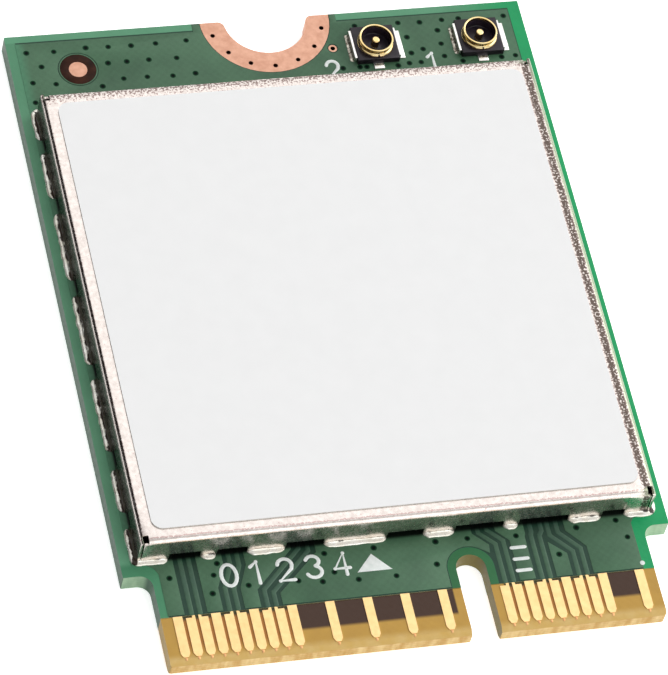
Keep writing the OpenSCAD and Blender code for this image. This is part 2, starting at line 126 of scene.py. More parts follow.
def weld(piece, distance=1e-8, turnOutward=True):
    shape = bmesh.new()
    shape.from_mesh(piece.data)
    bmesh.ops.remove_doubles(shape, verts=shape.verts, dist=distance)
    if turnOutward:
        bmesh.ops.recalc_face_normals(shape, faces=shape.faces)
    shape.to_mesh(piece.data)
    shape.free()


def wear(piece, slot, *replaced):  # what every finished piece of the card needs
    if replaced:
        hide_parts(*replaced)
    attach(piece, "root")


def arc(cx, cy, radius, start, end, steps):
    angles = [math.radians(start + (end - start) * i / steps) for i in range(steps + 1)]
    return [(cx + radius * math.cos(a), cy + radius * math.sin(a)) for a in angles]


def circle(cx, cy, radius, count):
    return arc(cx, cy, radius, 0, 360 - 360 / count, count - 1)


# Materials. Each reads the place on the card in millimetres.

black = (0, 0, 0, 1)


def paint(red, green, blue):  # a screen colour of 0 to 255, as the shaders count it
    def linear(c):
        c /= 255
        return c / 12.92 if c <= 0.04045 else ((c + 0.055) / 1.055) ** 2.4
    return (linear(red), linear(green), linear(blue), 1)


def newFinish(name):
    finish = bpy.data.materials.new(name)
    finish.use_nodes = True
    tree = finish.node_tree
    coords = put(tree, "ShaderNodeTexCoord").outputs["Object"]
    place = put(tree, "ShaderNodeMapping", {"Vector": coords, "Scale": [1 / mm] * 3}).outputs[0]
    return finish, tree.nodes["Principled BSDF"], place


def xyz(vector):
    return put(vector.id_data, "ShaderNodeSeparateXYZ", {0: vector}).outputs


def facing(shader):
    return xyz(put(shader.id_data, "ShaderNodeNewGeometry").outputs["Normal"])


def math2(operation, a, b=0.0):
    return put(treeOf(a, b), "ShaderNodeMath", {0: a, 1: b}, operation=operation).outputs[0]


def times(a, b):
    return math2("MULTIPLY", a, b)


def plus(a, b):
    return math2("ADD", a, b)


def minus(a, b):
    return math2("SUBTRACT", a, b)


def larger(a, b):
    return math2("MAXIMUM", a, b)


def apart(a, b=0.0):  # how far two values lie from each other
    return math2("ABSOLUTE", minus(a, b))


def rise(value, start, end):  # 0 before start, 1 after end
    return put(value.id_data, "ShaderNodeMapRange", {"Value": value, "From Min": start, "From Max": end},
               interpolation_type="SMOOTHSTEP").outputs[0]


def inside(value, low, high, soft=0.04):  # 1 between low and high
    return times(rise(value, low - soft, low + soft), rise(value, high + soft, high - soft))


def between(value, low, high):  # spreads a noise of about 0.3 to 0.7 over low to high
    return put(value.id_data, "ShaderNodeMapRange", {"Value": value, "From Min": 0.3, "From Max": 0.7,
                                                     "To Min": low, "To Max": high}).outputs[0]


def around(value, middle, reach):
    return between(value, middle - reach, middle + reach)


def noise(place, scale, detail=3, stretch=(1, 1, 1)):
    moved = put(place.id_data, "ShaderNodeMapping", {"Vector": place, "Scale": stretch})
    return put(place.id_data, "ShaderNodeTexNoise", {"Vector": moved, "Scale": scale,
                                                     "Detail": detail}).outputs["Fac"]


def ramp(value, *stops):
    node = put(value.id_data, "ShaderNodeValToRGB", {"Fac": value})
    band = node.color_ramp
    while len(band.elements) < len(stops):
        band.elements.new(0.5)
    for element, (position, color) in zip(band.elements, stops):
        element.position = position
        element.color = color
    return node.outputs[0]


def mixColor(share, a, b):
    return put(treeOf(share, a, b), "ShaderNodeMix", {0: share, 6: a, 7: b}, data_type="RGBA").outputs[2]


def darker(color, share):
    return mixColor(share, color, black)


def bump(shader, height, depth, strength):  # depth in millimetres
    relief = {"Height": height, "Distance": depth * mm, "Strength": strength}
    plug(shader.inputs["Normal"], put(shader.id_data, "ShaderNodeBump", relief))


keySlot = {"x": 2.625, "y": 2.9}  # its middle line, and the middle of its round end
upperHalf = (0.3, 0.5)  # heights in the board's thickness
# The channel tone colours the copper-free gaps between tracks, and is also a painted shadow line at the
# copper's edges.
maskLook = {
    "overCopper": paint(78, 118, 88), "overCopperDark": paint(66, 102, 76), "overTrack": paint(58, 90, 74),
    "channelAndEdgeShadow": paint(26, 62, 46), "border": paint(104, 168, 130), "borderRight": paint(8, 158, 94),
    "cornerBorder": paint(82, 140, 106), "slotBorder": paint(40, 108, 62), "farBorder": paint(92, 154, 118),
    "tongueBorder": paint(70, 138, 100), "weave": 0.36, "sheen": 0.3, "underCan": 0.04,
    "leftFade": (-10.1, -10.62), "canShade": -0.05,
}
# The copper-free border: each pair says where it begins and where it is full, across from a middle line
# or up from the contact edge
# Several borders begin a little beyond the copper's edge, so a thin strip of the dark channel tone shows
# there as a painted shadow line.
border = {
    "side": (10.51, 10.56), "sideMiddle": -0.05, "far": (29.65, 29.69), "farLeft": (10.6, 7.5),
    "pad": (3.05, 3.08), "padMiddle": -0.03, "tongue": (9.5, 9.54), "tongueMiddle": -0.065,
    "tongueEnd": (4.7, 4.4), "slot": (0.95, 0.91), "slotWall": (1.2, 0.9), "corner": (25, 27.5),
}
# The cut sides facing left have darker colours of their own: painted shade.
laminateLook = {
    "bare": paint(200, 158, 70), "bareDull": paint(180, 138, 62), "front": paint(214, 186, 126),
    "band": paint(66, 42, 28), "gap": paint(166, 108, 44), "gapTop": paint(58, 56, 26),
    "cut": paint(122, 156, 124), "cutLight": paint(150, 180, 146), "cutLeftShaded": paint(54, 90, 68),
    "slotCut": paint(120, 108, 46), "cutBareLeftShaded": paint(168, 138, 70), "layer": 0.13,
}
# The bare strip, up from the contact edge: lighter at the front, brown between close contacts, and dark
# where the inner copper plane shows through
bareStrip = {
    "front": (0.5, 0.14), "gap": (0.3, 0.9), "closeContacts": [(-9.3, -4.75), (3.75, 7.75)],
    "gapTop": (maskY - 0.26, maskY - 0.08), "band": (0.88, 1.06), "darkBands": [(-4.75, 1.68), (7.75, 9.25)],
    "end": (maskY + 0.004, maskY - 0.004),
}


def weaveHeight(place):
    warp, weft = [math2("SINE", times(way, 2 * math.pi / maskLook["weave"])) for way in xyz(place)[:2]]
    return times(warp, weft)


def underCan(place, color):  # the board's upper face is in full shade below the can
    x, y, z = xyz(place)
    reach = times(inside(x, canLow.x, canHigh.x, 0.06), rise(z, *upperHalf))
    shade = times(reach, inside(minus(y, maskLook["canShade"]), canLow.y, canHigh.y, 0.09))
    return mixColor(shade, color, mixColor(maskLook["underCan"], black, color))


def maskFinish(name, light, dark, roughness):
    finish, shader, place = newFinish(name)
    tone = ramp(noise(place, 0.6, 4), (0.3, dark), (0.7, light))
    tone = mixColor(rise(xyz(place)[0], *maskLook["leftFade"]), tone, maskLook["cornerBorder"])
    weave = weaveHeight(place)  # the glass cloth shows faintly through the mask
    cloth = plus(times(weave, 0.12), between(noise(place, 11), 0.02, 0.26))
    tone = mixColor(cloth, tone, darker(tone, 0.35))
    setInputs(shader, {"Base Color": underCan(place, tone), "Specular IOR Level": maskLook["sheen"],
                       "Roughness": around(noise(place, 5), roughness, 0.06)})
    bump(shader, plus(noise(place, 9, 4), times(weave, 0.25)), 0.004, 0.6)
    return finish


def boardFinish():
    finish, shader, place = newFinish("maskedLaminate")
    look = laminateLook
    x, y, z = xyz(place)
    fromEdge = minus(y, edgeY)
    side = rise(apart(x, border["sideMiddle"]), *border["side"])
    far = times(rise(fromEdge, *border["far"]), rise(apart(x, border["padMiddle"]), *border["pad"]))
    tongue = rise(apart(x, border["tongueMiddle"]), *border["tongue"])
    tongue = times(tongue, rise(fromEdge, *border["tongueEnd"]))
    slotX = minus(x, keySlot["x"])
    slotY = larger(minus(fromEdge, keySlot["y"]), 0.0)
    slot = rise(math2("SQRT", plus(times(slotX, slotX), times(slotY, slotY))), *border["slot"])
    tone = mixColor(rise(fromEdge, *border["corner"]), maskLook["border"], maskLook["cornerBorder"])
    for share, name in ((rise(x, boardLow.x, boardHigh.x), "borderRight"),
                        (times(tongue, rise(x, 1, -1)), "tongueBorder"), (slot, "slotBorder"),
                        (times(far, rise(x, *border["farLeft"])), "farBorder")):
        tone = mixColor(share, tone, maskLook[name])
    # on the upper face outside the borders: the dark channel tone, which also shows as a painted shadow line
    # in the thin gaps at the copper's edges
    middle = mixColor(rise(z, *upperHalf), maskLook["overCopper"], maskLook["channelAndEdgeShadow"])
    mask = mixColor(larger(larger(side, far), larger(tongue, slot)), middle, tone)
    mask = mixColor(rise(noise(place, 0.8, 4), 0.3, 0.8), mask, darker(mask, 0.12))
    close, dark = [larger(*[inside(x, *span) for span in bareStrip[name]])
                   for name in ("closeContacts", "darkBands")]
    bare = mixColor(noise(place, 1.4, 5), look["bare"], look["bareDull"])
    gap = mixColor(rise(fromEdge, *bareStrip["gapTop"]), look["gap"], look["gapTop"])
    bare = mixColor(times(close, rise(fromEdge, *bareStrip["gap"])), bare, gap)
    front = mixColor(noise(place, 2.4, 4), look["front"], look["bare"])
    bare = mixColor(rise(fromEdge, *bareStrip["front"]), bare, front)
    bare = mixColor(times(rise(fromEdge, *bareStrip["band"]), dark), bare, look["band"])
    # cut sides show the glass cloth in thin layers
    layers = times(math2("SINE", times(z, 2 * math.pi / look["layer"])), 0.05)
    layers = rise(plus(layers, noise(place, 3, 4, (1, 1, 0.3))), 0.3, 0.75)
    normal = facing(shader)
    # cut sides facing left get the darker colours: painted shade
    shadedLeftSide = rise(normal[0], -0.4, -0.8)
    cut = mixColor(slot, mixColor(layers, look["cut"], look["cutLight"]), look["slotCut"])
    cut = mixColor(shadedLeftSide, cut, mixColor(slot, look["cutLeftShaded"], look["slotCut"]))
    cutBare = mixColor(layers, look["bareDull"], look["front"])
    slotNear = rise(apart(slotX), *border["slotWall"])
    cutBare = mixColor(shadedLeftSide, cutBare, mixColor(slotNear, look["cutBareLeftShaded"], look["slotCut"]))
    bareShare = rise(fromEdge, *bareStrip["end"])
    flat = mixColor(bareShare, underCan(place, mask), bare)
    color = mixColor(rise(apart(normal[2]), 0.5, 0.3), flat, mixColor(bareShare, cut, cutBare))
    setInputs(shader, {"Base Color": color, "Specular IOR Level": maskLook["sheen"],
                       "Roughness": between(noise(place, 6), 0.38, 0.5)})
    bump(shader, plus(noise(place, 10, 5), times(weaveHeight(place), 0.3)), 0.005, 0.7)
    return finish


# Each band lies between two distances from an edge of the can, and a third number says how softly it ends
# The dark tone for walls facing left and the greenish tone for faces turned right are painted reflections of
# the board.
canLook = {
    "light": paint(232, 223, 217), "dark": paint(212, 202, 196), "speck": paint(98, 86, 80),
    "softSpeck": paint(196, 172, 168), "leftDarkReflection": paint(58, 62, 54), "rightGreenReflection": paint(158, 168, 144),
    "roughness": 0.27, "bend": 0.2, "grain": 11, "speckShare": 0.27, "speckFrom": (0.64, 0.72),
    "rightBand": (-0.52, -0.17, 0.1), "farBand": (-0.75, -0.15), "farShare": 0.72,
    "leftBand": (0.08, 0.15, 0.04), "foldLine": (-0.03, 0.04, 0.03),
}


def canFinish():  # bright tin with dark specks, thickest where the sheet starts to bend
    finish, shader, place = newFinish("tinPlate")
    x, y, z = xyz(place)
    grain = noise(place, canLook["grain"])
    fold = inside(minus(y, canLow.y + canLook["bend"]), *canLook["foldLine"])
    right = inside(minus(x, canHigh.x), *canLook["rightBand"])
    far = times(rise(minus(y, canHigh.y), *canLook["farBand"]), canLook["farShare"])
    wide = larger(larger(right, far), inside(minus(x, canLow.x), *canLook["leftBand"]))
    share = plus(times(larger(fold, wide), canLook["speckShare"]), grain)
    tone = ramp(noise(place, 5, 4), (0.35, canLook["dark"]), (0.65, canLook["light"]))
    speckTone = mixColor(wide, canLook["softSpeck"], canLook["speck"])
    tone = mixColor(rise(share, *canLook["speckFrom"]), tone, speckTone)
    facingX = facing(shader)[0]
    # walls facing left are painted dark, broken up by the grain: a painted reflection of the shaded board
    # beside them
    leftReflection = times(rise(facingX, -0.8, -0.93), rise(grain, 0.95, 0.5))
    tone = mixColor(leftReflection, tone, canLook["leftDarkReflection"])
    # faces turned right are tinted greyish green: a painted reflection of the green board
    tone = mixColor(rise(facingX, 0.04, 0.3), tone, canLook["rightGreenReflection"])
    setInputs(shader, {"Base Color": tone, "Metallic": 1,
                       "Roughness": around(noise(place, 9), canLook["roughness"], 0.05)})
    bump(shader, grain, 0.004, 0.5)
    return finish


# Its two dark tones are painted shade on the solder beside the can's walls; sideReach and frontReach say how
# far out from the walls it goes.
solderLook = {
    "light": paint(252, 250, 242), "dark": paint(236, 230, 214), "solderShade": paint(64, 44, 28),
    "deepSolderShade": paint(24, 18, 12), "metallic": 0.6, "sideReach": 0.12, "frontReach": -0.02,
}


def solderFinish():  # bright outer rims, and painted dark shade on the solder against the can
    finish, shader, place = newFinish("reflowedSolder")
    x, y, z = xyz(place)
    middle, half = (canLow + canHigh) / 2, (canHigh - canLow) / 2
    beyondX = minus(apart(x, middle.x), half.x)
    beyond = larger(beyondX, minus(apart(y, middle.y), half.y))
    reach = times(rise(beyondX, -0.05, 0.0), solderLook["sideReach"] - solderLook["frontReach"])
    edge = between(noise(place, 3.2, 4), -0.07, 0.07)
    # the solder next to the can's walls is painted dark brown and matte: painted shade
    solderShade = rise(plus(minus(beyond, plus(reach, solderLook["frontReach"])), edge), 0.02, -0.02)
    tone = ramp(noise(place, 2.5, 4), (0.35, solderLook["dark"]), (0.65, solderLook["light"]))
    solderShadeTone = mixColor(noise(place, 7, 4), solderLook["solderShade"], solderLook["deepSolderShade"])
    setInputs(shader, {"Base Color": mixColor(solderShade, tone, solderShadeTone),
                       "Metallic": times(minus(1, solderShade), solderLook["metallic"]),
                       "Roughness": between(noise(place, 6), 0.24, 0.38)})
    bump(shader, noise(place, 8, 4), 0.006, 0.8)
    return finish


def metalFinish(name, light, dark, roughness, grainScale, grainDepth):
    finish, shader, place = newFinish(name)
    tone = ramp(noise(place, grainScale * 0.35, 4), (0.35, dark), (0.65, light))
    setInputs(shader, {"Base Color": tone, "Metallic": 1,
                       "Roughness": around(noise(place, grainScale), roughness, 0.06)})
    bump(shader, noise(place, grainScale * 2, 4), grainDepth, 0.8)
    return finish


def plainFinish(name, light, dark, roughness, grainScale, grainDepth, specular=0.5):
    finish, shader, place = newFinish(name)
    tone = ramp(noise(place, grainScale * 0.3, 4), (0.3, dark), (0.7, light))
    setInputs(shader, {"Base Color": tone, "Specular IOR Level": specular,
                       "Roughness": around(noise(place, grainScale), roughness, 0.05)})
    bump(shader, noise(place, grainScale * 1.5, 4), grainDepth, 0.7)
    return finish


def labelFinish():
    finish, shader, place = newFinish("labelPaper")
    # the label's cut sides are painted a little greyer than its face: a painted shade line along its edge
    edge = rise(apart(facing(shader)[2]), 0.9, 0.5)
    face = ramp(noise(place, 1.2, 6), (0.2, paint(240, 240, 240)), (0.8, paint(243, 243, 243)))
    setInputs(shader, {"Base Color": mixColor(edge, face, paint(214, 212, 206)),
                       "Roughness": around(noise(place, 14), 0.52, 0.06)})
    bump(shader, noise(place, 22, 5), 0.0015, 0.5)
    return finish


def dotFinish():
    finish, shader, place = newFinish("tentedVia")
    across = put(shader.id_data, "ShaderNodeAttribute", attribute_name="across").outputs["Fac"]
    tone = ramp(across, (0.0, paint(0, 12, 7)), (0.4, paint(0, 12, 7)), (0.58, paint(14, 46, 30)),
                (0.85, paint(30, 66, 44)), (1.0, paint(60, 98, 72)))
    setInputs(shader, {"Base Color": mixColor(noise(place, 3), tone, darker(tone, 0.15)), "Roughness": 0.5,
                       "Specular IOR Level": 0.06})
    bump(shader, noise(place, 12), 0.003, 0.5)
    return finish


finishes = {
    "board": boardFinish(),
    "overCopper": maskFinish("maskOverCopper", maskLook["overCopper"], maskLook["overCopperDark"], 0.42),
    "track": maskFinish("maskOverTrack", maskLook["overTrack"], maskLook["overCopperDark"], 0.36),
    "dot": dotFinish(),
    "gold": metalFinish("contactGold", paint(246, 212, 152), paint(240, 202, 142), 0.42, 10, 0.001),
    "copper": metalFinish("bareCopper", paint(220, 172, 148), paint(206, 156, 132), 0.5, 9, 0.001),
    "can": canFinish(),
    "solder": solderFinish(),
    "dullSolder": metalFinish("dullSolder", paint(226, 220, 206), paint(84, 72, 56), 0.36, 26, 0.01),
    "stub": metalFinish("stubCopper", paint(234, 186, 134), paint(222, 168, 116), 0.5, 9, 0.001),
    "tab": metalFinish("tinnedTab", paint(252, 250, 247), paint(240, 236, 231), 0.34, 8, 0.001),
    "label": labelFinish(),
    "plastic": plainFinish("socketPlastic", paint(42, 33, 44), paint(26, 20, 29), 0.34, 14, 0.004, 0.35),
    "socketGold": metalFinish("socketGold", paint(247, 227, 174), paint(235, 205, 140), 0.18, 5, 0.001),
    "ink": plainFinish("printedInk", paint(240, 244, 242), paint(222, 230, 226), 0.5, 16, 0.003),
    "ring": plainFinish("darkLaminate", paint(74, 40, 26), paint(36, 19, 12), 0.5, 5, 0.004, 0.1),
    "chip": plainFinish("chipMoulding", paint(52, 52, 54), paint(38, 38, 40), 0.55, 12, 0.006),
    "lid": metalFinish("crystalLid", paint(206, 200, 186), paint(186, 180, 168), 0.32, 12, 0.004),
    "ferrite": plainFinish("pressedFerrite", paint(92, 92, 96), paint(70, 70, 74), 0.6, 10, 0.01),
    "ceramic": plainFinish("firedCeramic", paint(226, 220, 206), paint(206, 198, 182), 0.5, 9, 0.006),
    "tan": plainFinish("capacitorCeramic", paint(176, 146, 112), paint(150, 120, 90), 0.45, 9, 0.005),
    "barrel": metalFinish("viaBarrel", paint(92, 50, 38), paint(60, 34, 28), 0.5, 10, 0.004),
}
nodeFinishes = {
    "board": ["circuit_board"], "can": ["shield_can"], "label": ["label"], "lid": ["reference_crystal"],
    "gold": ["contacts_top_left", "contacts_top_wide_set", "contacts_top_right", "contact_top_first",
             "contacts_bottom_left", "contacts_bottom_right"],
    "copper": ["mounting_pad", "grounding_via", "alignment_mark"], "ferrite": ["power_inductors"],
    "chip": ["radio_chip", "front_end_module_1", "front_end_module_2", "voltage_regulator", "memory_chip",
             "resistors"],
    "ceramic": ["radio_filters"], "tan": ["capacitors"], "plastic": ["socket_1_base", "socket_2_base"],
    "socketGold": ["socket_1_shell", "socket_1_pin", "socket_2_shell", "socket_2_pin"],
    "solder": ["shield_solder", "socket_1_solder", "socket_2_solder"],
}
for look, names in nodeFinishes.items():
    for name in names:
        finishPiece(nodes[name], finishes[look])
print("finishes made")


# Geometry Nodes trees

def newTree(name, *sockets):
    tree = bpy.data.node_groups.new(name, "GeometryNodeTree")
    panel = tree.interface
    panel.new_socket("Geometry", in_out="INPUT", socket_type="NodeSocketGeometry")
    for label, kind, value in sockets:
        given = panel.new_socket(label, in_out="INPUT", socket_type="NodeSocket" + kind)
        if value is not None:
            given.default_value = value
    panel.new_socket("Geometry", in_out="OUTPUT", socket_type="NodeSocketGeometry")
    return tree, put(tree, "NodeGroupInput").outputs


def endTree(tree, geometry, finish):
    whole = put(tree, "GeometryNodeRealizeInstances", {"Geometry": geometry})
    dressed = put(tree, "GeometryNodeSetMaterial", {"Geometry": whole, "Material": finish})
    put(tree, "NodeGroupOutput", {"Geometry": dressed})
    return tree


def grow(name, tree, points, edges, smoothAngle, inputs):  # a piece that a tree makes from points and edges
    piece = meshPiece(name, points, [], edges)
    modifier = piece.modifiers.new(name, "NODES")
    modifier.node_group = tree
    for item in tree.interface.items_tree:
        if item.in_out == "INPUT" and item.name in inputs:
            modifier[item.identifier] = inputs[item.name]
    bpy.context.view_layer.update()
    bake(piece)
    finishPiece(piece, None, smoothAngle)
    return piece


def strokeTree():  # a low rounded ribbon along each line, with a round dab at each of its points
    tree, given = newTree("stroke", ("Width", "Float", 0.1 * mm), ("Height", "Float", 0.01 * mm),
                          ("Finish", "Material", None))
    line = put(tree, "GeometryNodeMeshToCurve", {"Mesh": given["Geometry"]})
    line = put(tree, "GeometryNodeSetCurveNormal", {"Curve": line}, mode="Z_UP")
    oval = put(tree, "GeometryNodeCurvePrimitiveCircle", {"Resolution": 10, "Radius": 0.5})
    high = times(given["Height"], 2)
    size = put(tree, "ShaderNodeCombineXYZ", {"X": given["Width"], "Y": high, "Z": 1})
    oval = put(tree, "GeometryNodeTransform", {"Geometry": oval, "Scale": size})
    ribbon = put(tree, "GeometryNodeCurveToMesh", {"Curve": line, "Profile Curve": oval, "Fill Caps": True})
    ball = put(tree, "GeometryNodeMeshUVSphere", {"Segments": 12, "Rings": 6, "Radius": 0.5})
    dabSize = put(tree, "ShaderNodeCombineXYZ", {"X": given["Width"], "Y": given["Width"], "Z": high})
    dabs = put(tree, "GeometryNodeInstanceOnPoints", {"Points": line, "Instance": ball.outputs["Mesh"],
                                                      "Scale": dabSize})
    both = put(tree, "GeometryNodeJoinGeometry")
    for part in (ribbon, dabs):
        tree.links.new(part.outputs[0], both.inputs[0])
    return endTree(tree, both, given["Finish"])


def repeatTree():  # a small piece at each point, each turned and sized a little differently
    tree, given = newTree("repeat", ("Piece", "Object", None), ("Spread", "Float", 0.0), ("Seed", "Int", 0),
                          ("Finish", "Material", None))
    piece = put(tree, "GeometryNodeObjectInfo", {"Object": given["Piece"]}).outputs["Geometry"]
    turn = put(tree, "FunctionNodeRandomValue", {"Min": (0, 0, 0), "Max": (0, 0, 2 * math.pi),
                                                 "Seed": given["Seed"]}, data_type="FLOAT_VECTOR")
    size = put(tree, "FunctionNodeRandomValue", {
        2: minus(1, given["Spread"]), 3: plus(1, given["Spread"]), "Seed": given["Seed"]}, data_type="FLOAT")
    spread = put(tree, "GeometryNodeInstanceOnPoints", {"Points": given["Geometry"], "Instance": piece,
                                                        "Rotation": turn, "Scale": size.outputs[1]})
    return endTree(tree, spread, given["Finish"])


def filletTree():  # solder drawn along a line, with round ends and an uneven surface
    tree, given = newTree("fillet", ("Section", "Object", None), ("Taper", "Float", 0.2 * mm),
                          ("Uneven", "Float", 0.25), ("Lumps", "Float", 2.0), ("Seed", "Float", 0.0),
                          ("Corner", "Float", 0.12 * mm), ("Ripples", "Float", 4.0),
                          ("Ripple Size", "Float", 0.035 * mm), ("Finish", "Material", None))
    line = put(tree, "GeometryNodeMeshToCurve", {"Mesh": given["Geometry"]})
    line = put(tree, "GeometryNodeFilletCurve", {"Curve": line, "Count": 6, "Radius": given["Corner"],
                                                 "Limit Radius": True}, mode="POLY")
    line = put(tree, "GeometryNodeResampleCurve", {"Curve": line, "Length": 0.04 * mm}, mode="LENGTH")
    line = put(tree, "GeometryNodeSetCurveNormal", {"Curve": line}, mode="Z_UP")
    along = put(tree, "GeometryNodeSplineParameter").outputs["Length"]
    whole = put(tree, "GeometryNodeSplineLength").outputs["Length"]
    toEnd = math2("MINIMUM", along, minus(whole, along))
    left = minus(1, math2("MINIMUM", math2("DIVIDE", toEnd, given["Taper"]), 1))
    roundEnd = math2("SQRT", minus(1.0004, times(left, left)))  # never quite 0, so that no point doubles
    where = put(tree, "GeometryNodeInputPosition")
    inMm = put(tree, "ShaderNodeVectorMath", {0: where, "Scale": 1 / mm}, operation="SCALE")

    def waves(scale, detail):
        return put(tree, "ShaderNodeTexNoise", {"Vector": inMm, "W": given["Seed"], "Scale": scale,
                                                "Detail": detail}, noise_dimensions="4D").outputs

    swell = times(minus(waves(given["Lumps"], 2)["Fac"], 0.5), given["Uneven"])
    thickness = times(roundEnd, plus(swell, 1))
    section = put(tree, "GeometryNodeObjectInfo", {"Object": given["Section"]}).outputs["Geometry"]
    section = put(tree, "GeometryNodeMeshToCurve", {"Mesh": section})
    blob = put(tree, "GeometryNodeCurveToMesh", {"Curve": line, "Profile Curve": section, "Scale": thickness,
                                                 "Fill Caps": True})
    ripple = waves(given["Ripples"], 1)["Color"]
    ripple = put(tree, "ShaderNodeVectorMath", {0: ripple, 1: (0.5, 0.5, 0.5)}, operation="SUBTRACT")
    ripple = put(tree, "ShaderNodeVectorMath", {0: ripple, "Scale": given["Ripple Size"]}, operation="SCALE")
    blob = put(tree, "GeometryNodeSetPosition", {"Geometry": blob, "Offset": ripple})
    return endTree(tree, blob, given["Finish"])


strokes = strokeTree()
repeats = repeatTree()
fillets = filletTree()


def lines(*paths):  # points and edges of open paths; a path that ends where it starts is closed
    points, edges = [], []
    for path in paths:
        start = len(points)
        closed = len(path) > 2 and (Vector(path[0]) - Vector(path[-1])).length < 1e-6
        points += path[:-1] if closed else path
        last = len(points) - 1
        edges += [(i, i + 1) for i in range(start, last)]
        if closed:
            edges.append((last, start))
    return points, edges


def drawn(name, paths, spec, finish):  # strokes along paths
    return grow(name, strokes, *lines(*paths), 60,
                {"Width": spec["width"] * mm, "Height": spec["height"] * mm, "Finish": finish})


# Flat layers are filled outlines with a rounded rim

def flatPiece(name, loops, low, high, rim, finish):
    curve = bpy.data.curves.new(name, "CURVE")
    curve.dimensions = "2D"
    curve.fill_mode = "BOTH"
    curve.extrude = (high - low) / 2 - rim
    curve.bevel_depth = rim
    curve.bevel_resolution = 1
    curve.offset = -rim
    for loop in loops:
        line = curve.splines.new("POLY")
        line.points.add(len(loop) - 1)
        for point, (x, y) in zip(line.points, loop):
            point.co = (x, y, 0, 1)
        line.use_cyclic_u = True
    piece = bake(newObject(name, curve))
    for vertex in piece.data.vertices:
        vertex.co = Vector((vertex.co.x, vertex.co.y, vertex.co.z + (low + high) / 2)) * mm
    weld(piece)
    finishPiece(piece, finish, 40)
    return piece


padLow, padHigh = boxMm("mounting_pad")
markLow, markHigh = boxMm("alignment_mark")
groundLow, groundHigh = boxMm("grounding_via")
boardLength = boardHigh.y - boardLow.y
mark = (markLow + markHigh) / 2
ground = (groundLow + groundHigh) / 2

pour = {
    "height": 0.014, "rim": 0.005, "front": 2.13, "behind": 5.2,
    "left": -10.6, "right": 10.45, "far": 29.6, "edge": 29.97, "farLeft": -3.1, "farRight": 3.03,
    "padGap": 0.03, "markGap": 0.845, "markRing": (0, 0.04, 0.09), "viaGap": 0.23, "slotRing": 0.975,
    "under": 0.004,
}
clearRing = {"outer": 0.755, "inner": 0.39, "height": 0.006, "rim": 0.003}
# Copper-free channels for the track pairs, each up its left side and down its right
channels = [
    [(-8.95, 0), (-8.95, 1), (-8.05, 1), (-8.05, 0)],
    [(-7.43, 0), (-7.43, 3.15), (-7.02, 4.1), (-7.02, 1),
     (-6.15, 1), (-6.15, 4.05), (-6.57, 3.05), (-6.57, 0)],
    [(-5.93, 0), (-5.93, 2.9), (-4.25, 4.55), (-4.25, 1),
     (-3.3, 1), (-3.3, 4.3), (-5.07, 2.65), (-5.07, 0)],
]
rightChannels = [
    (3.52, 3.48), (3.57, 3.85), (3.0, 4.42), (3.0, 1), (3.95, 1), (3.95, 4.45), (4.43, 3.95), (4.43, 0),
    (5.07, 0), (5.07, 4.05), (5.12, 4.2), (5.12, 1), (6.75, 1), (6.75, 4.15), (7.43, 3.35), (7.43, 0),
]


def ended(path, start, end):  # 0 and 1 in a path stand for the lines where its kind starts and ends
    return [(x, {0: start, 1: end}.get(y, y)) for x, y in path]


def pourOutline():
    front = pour["front"]
    loop = [(-9.6, front)]
    for path in channels:
        loop += ended(path, front, pour["behind"])
    loop += [(1.65, front)] + arc(keySlot["x"], keySlot["y"], pour["slotRing"], 180, 62, 10)
    loop += ended(rightChannels, front, pour["behind"])
    loop += [(9.47, front), (9.47, 4.2), (9.6, 4.4), (10.0, 4.48), (pour["right"], 4.56)]
    loop += [(pour["right"], pour["far"]), (pour["farRight"], pour["far"]), (pour["farRight"], pour["edge"])]
    padRadius = (padHigh.x - padLow.x) / 2 + pour["padGap"]
    loop += arc(0, boardLength, padRadius, -1, -179, 36)
    loop += [(pour["farLeft"], pour["edge"]), (pour["farLeft"], pour["far"]), (pour["left"], pour["far"])]
    loop += [(pour["left"], 4.62), (-10.1, 4.5), (-9.75, 4.3), (-9.6, 4.0)]
    return loop


island = [(5.93, pour["front"]), (5.93, 3.7), (6.57, 3.12), (6.57, pour["front"])]
outlines = [[(x, y + edgeY) for x, y in loop] for loop in (pourOutline(), island)]
# outside this ring a thin gap shows the dark channel tone: a painted shadow line at the copper's edge
for inward in pour["markRing"]:  # a thin ring in the clearing
    outlines.append(circle(mark.x, mark.y, pour["markGap"] - inward, 45))
outlines.append(circle(ground.x, ground.y, pour["viaGap"], 24))
pourTop = boardTop + pour["height"]
wear(flatPiece("maskOverCopper", outlines, boardTop - pour["under"], pourTop, pour["rim"],
               finishes["overCopper"]), "solder_mask")
rings = [circle(mark.x, mark.y, clearRing["outer"], 45), circle(mark.x, mark.y, clearRing["inner"], 30)]
wear(flatPiece("clearRing", rings, boardTop - pour["under"], boardTop + clearRing["height"],
               clearRing["rim"], finishes["ring"]), "solder_mask")
print("mask layers made")

